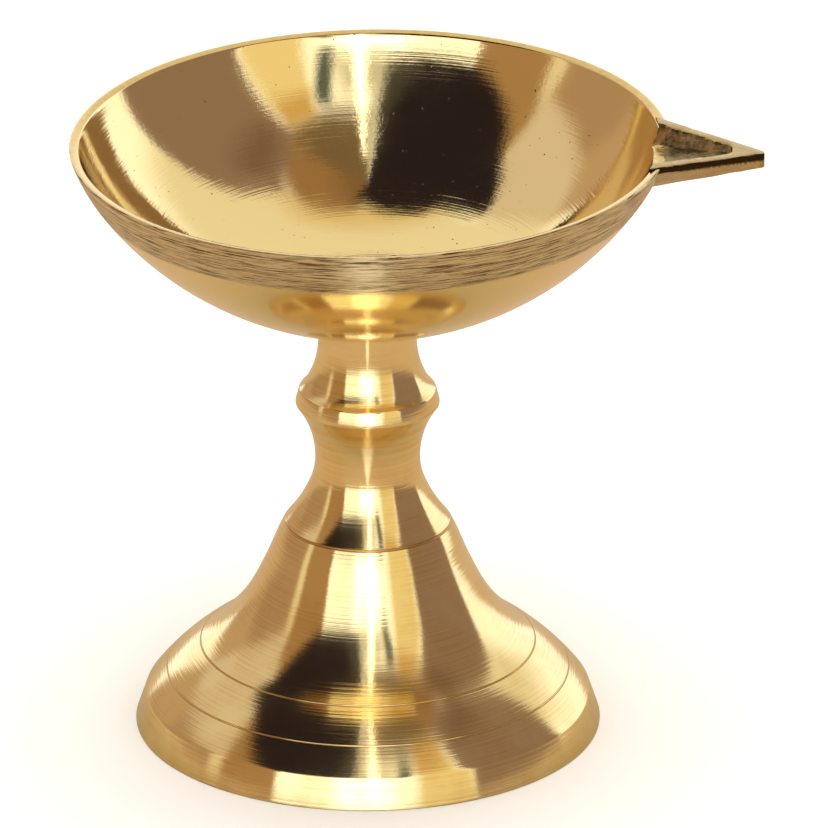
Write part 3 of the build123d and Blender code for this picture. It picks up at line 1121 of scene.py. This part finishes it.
def washer_mesh(sizes):
    """Plain washer with worn edges."""
    low, high = WASHER_LOW.z, WASHER_HIGH.z
    outline = Outline(sizes.washer_hole, low)
    outline.line(sizes.washer_radius, low, worn=sizes.washer_edge)
    outline.line(sizes.washer_radius, high, worn=sizes.washer_edge)
    outline.lines((sizes.washer_hole, high), (sizes.washer_hole, low))
    return outline.spin(BAR_STEPS)


def nut_mesh(sizes):
    """Hexagon nut with its corners chamfered at both ends."""
    flat = sizes.nut_flats / 2
    corner = flat / math.cos(math.pi / 6)
    rise = (corner - flat) * math.tan(sizes.nut_chamfer)
    low, high = NUT_LOW.z, NUT_HIGH.z
    bm = bmesh.new()
    bmesh.ops.create_circle(bm, cap_ends=True, radius=corner, segments=6)
    if NUT_HIGH.x < NUT_HIGH.y:
        bmesh.ops.rotate(bm, verts=bm.verts[:], matrix=Matrix.Rotation(math.pi / 6, 3, "Z"))
    raised = bmesh.ops.extrude_face_region(bm, geom=bm.faces[:])
    bmesh.ops.translate(bm, verts=bm.verts[:], vec=(0.0, 0.0, low))
    lifted = [item for item in raised["geom"] if isinstance(item, bmesh.types.BMVert)]
    bmesh.ops.translate(bm, verts=lifted, vec=(0.0, 0.0, high - low))
    barrel = Outline(0.0, low)
    barrel.lines((flat, low), (corner, low + rise), (corner, high - rise), (flat, high), (0.0, high))
    bore = bar(sizes.radius + sizes.clearance, low - OVERSHOOT, high + OVERSHOOT)
    return combined(closed(bm), ("INTERSECT", barrel.spin(BAR_STEPS)), ("DIFFERENCE", bore))


class LAMP_OT_make_foot(bpy.types.Operator):
    """Turns the hollow foot"""

    bl_idname = "lamp.make_foot"
    bl_label = "Make foot"

    def execute(self, context):
        lamp = context.scene.butter_lamp
        brass = lamp.brass
        finishes = [
            turned_brass("turned_brass_foot", brass),
            cast_brass("sand_cast_brass", brass, coarse=0.09 * MM, dullness=0.9, dirt=brass.tarnish),
            dull_brass("dull_brass_groove", brass),
        ]
        made = piece("foot_turned", foot_mesh(lamp.foot), finishes)
        placed(made, "stand", "foot_brass", "foot")
        return {"FINISHED"}


class LAMP_OT_make_stem(bpy.types.Operator):
    """Turns the stem with its threaded tenon"""

    bl_idname = "lamp.make_stem"
    bl_label = "Make stem"

    def execute(self, context):
        lamp = context.scene.butter_lamp
        finish = turned_brass("turned_brass_stem", lamp.brass)
        made = piece("stem_turned", stem_mesh(lamp.stem, lamp.foot, lamp.thread), [finish])
        placed(made, "stand", "stem_brass", "stem")
        return {"FINISHED"}


class LAMP_OT_make_bowl(bpy.types.Operator):
    """Casts and turns the bowl with its spout"""

    bl_idname = "lamp.make_bowl"
    bl_label = "Make bowl"

    def execute(self, context):
        lamp = context.scene.butter_lamp
        brass = lamp.brass
        finishes = [
            bowl_outside_brass("turned_and_linished_brass", brass, lamp.bowl),
            bowl_inside_brass("buffed_brass", brass, lamp.bowl),
            filed_brass("rubbed_brass_rim", brass),
            cheek_brass("cast_brass_dark_band", brass, lamp.bowl),
            cast_brass("cast_brass_spout", brass, coarse=0.06 * MM, dullness=0.35, dirt=brass.tarnish),
            cast_brass("cast_brass_channel", brass, coarse=0.09 * MM, dullness=0.75, dirt=brass.soot),
        ]
        made = piece("bowl_cast", bowl_mesh(lamp.bowl, lamp.thread, lamp.stem.neck_radius), finishes)
        placed(made, "bowl", "bowl_brass", "bowl")
        return {"FINISHED"}


class LAMP_OT_make_fasteners(bpy.types.Operator):
    """Makes the stud, the washer and the nut"""

    bl_idname = "lamp.make_fasteners"
    bl_label = "Make fasteners"

    def execute(self, context):
        lamp = context.scene.butter_lamp
        finish = turned_brass("machined_brass", lamp.brass)
        stud = piece("stud_threaded", threaded_bar(lamp.thread, STUD_LOW.z, STUD_HIGH.z), [finish])
        placed(stud, "stud", "fastener_brass", "bowl_stud")
        washer = piece("washer_plain", washer_mesh(lamp.thread), [finish])
        placed(washer, "stand", "fastener_brass", "foot_washer")
        nut = piece("nut_hexagon", nut_mesh(lamp.thread), [finish])
        placed(nut, "stand", "fastener_brass", "foot_nut")
        return {"FINISHED"}


class LAMP_OT_set_stage(bpy.types.Operator):
    """Lays the floor, sets the light and the camera"""

    bl_idname = "lamp.set_stage"
    bl_label = "Set stage"

    def execute(self, context):
        scene = context.scene
        stage = scene.butter_lamp.stage
        scene.view_settings.view_transform = "Standard"

        bm = bmesh.new()
        bmesh.ops.create_grid(bm, x_segments=1, y_segments=1, size=stage.floor_size)
        floor = piece("paper_floor", bm, [floor_paper(stage)])

        scene.world = soft_studio(stage)
        overhead = bpy.data.lights.new("overhead", "AREA")
        overhead.size = stage.overhead_width
        overhead.energy = stage.overhead
        hung = bpy.data.objects.new("overhead", overhead)
        hung.location = (0.0, 0.0, stage.overhead_height)
        hung.visible_glossy = False
        scene.collection.objects.link(hung)

        lens = bpy.data.cameras.new("camera")
        lens.sensor_fit = "HORIZONTAL"
        lens.lens = lens.sensor_width * stage.distance / stage.field
        lens.clip_end = CAMERA_REACH
        camera = bpy.data.objects.new("camera", lens)
        scene.collection.objects.link(camera)
        turn = Matrix.Rotation(stage.azimuth, 4, "Z")
        tilt = Matrix.Rotation(math.pi / 2 - stage.elevation, 4, "X")
        target = turn @ Vector((stage.target_side, 0.0, stage.target_height))
        back = Matrix.Translation((0.0, 0.0, stage.distance))
        camera.matrix_world = Matrix.Translation(target) @ turn @ tilt @ back
        scene.camera = camera
        return {"FINISHED"}


class LAMP_PT_panel(bpy.types.Panel):
    """Lists the lamp's pieces and its stage"""

    bl_idname = "LAMP_PT_panel"
    bl_label = "Butter lamp"
    bl_space_type = "VIEW_3D"
    bl_region_type = "UI"
    bl_category = "Lamp"

    def draw(self, context):
        for step in STEPS:
            self.layout.operator(step.bl_idname)


STEPS = (LAMP_OT_make_foot, LAMP_OT_make_stem, LAMP_OT_make_bowl, LAMP_OT_make_fasteners, LAMP_OT_set_stage)
GROUPS = (FootSizes, StemSizes, BowlSizes, ThreadSizes, BrassColours, StageSettings, LampSettings)


def register():
    for group in GROUPS + STEPS + (LAMP_PT_panel,):
        bpy.utils.register_class(group)
    bpy.types.Scene.butter_lamp = PointerProperty(type=LampSettings)


def unregister():
    del bpy.types.Scene.butter_lamp
    for group in reversed(GROUPS + STEPS + (LAMP_PT_panel,)):
        bpy.utils.unregister_class(group)


def main():
    register()
    bpy.ops.lamp.make_foot()
    bpy.ops.lamp.make_stem()
    bpy.ops.lamp.make_bowl()
    bpy.ops.lamp.make_fasteners()
    bpy.ops.lamp.set_stage()


if __name__ == "__main__":
    main()
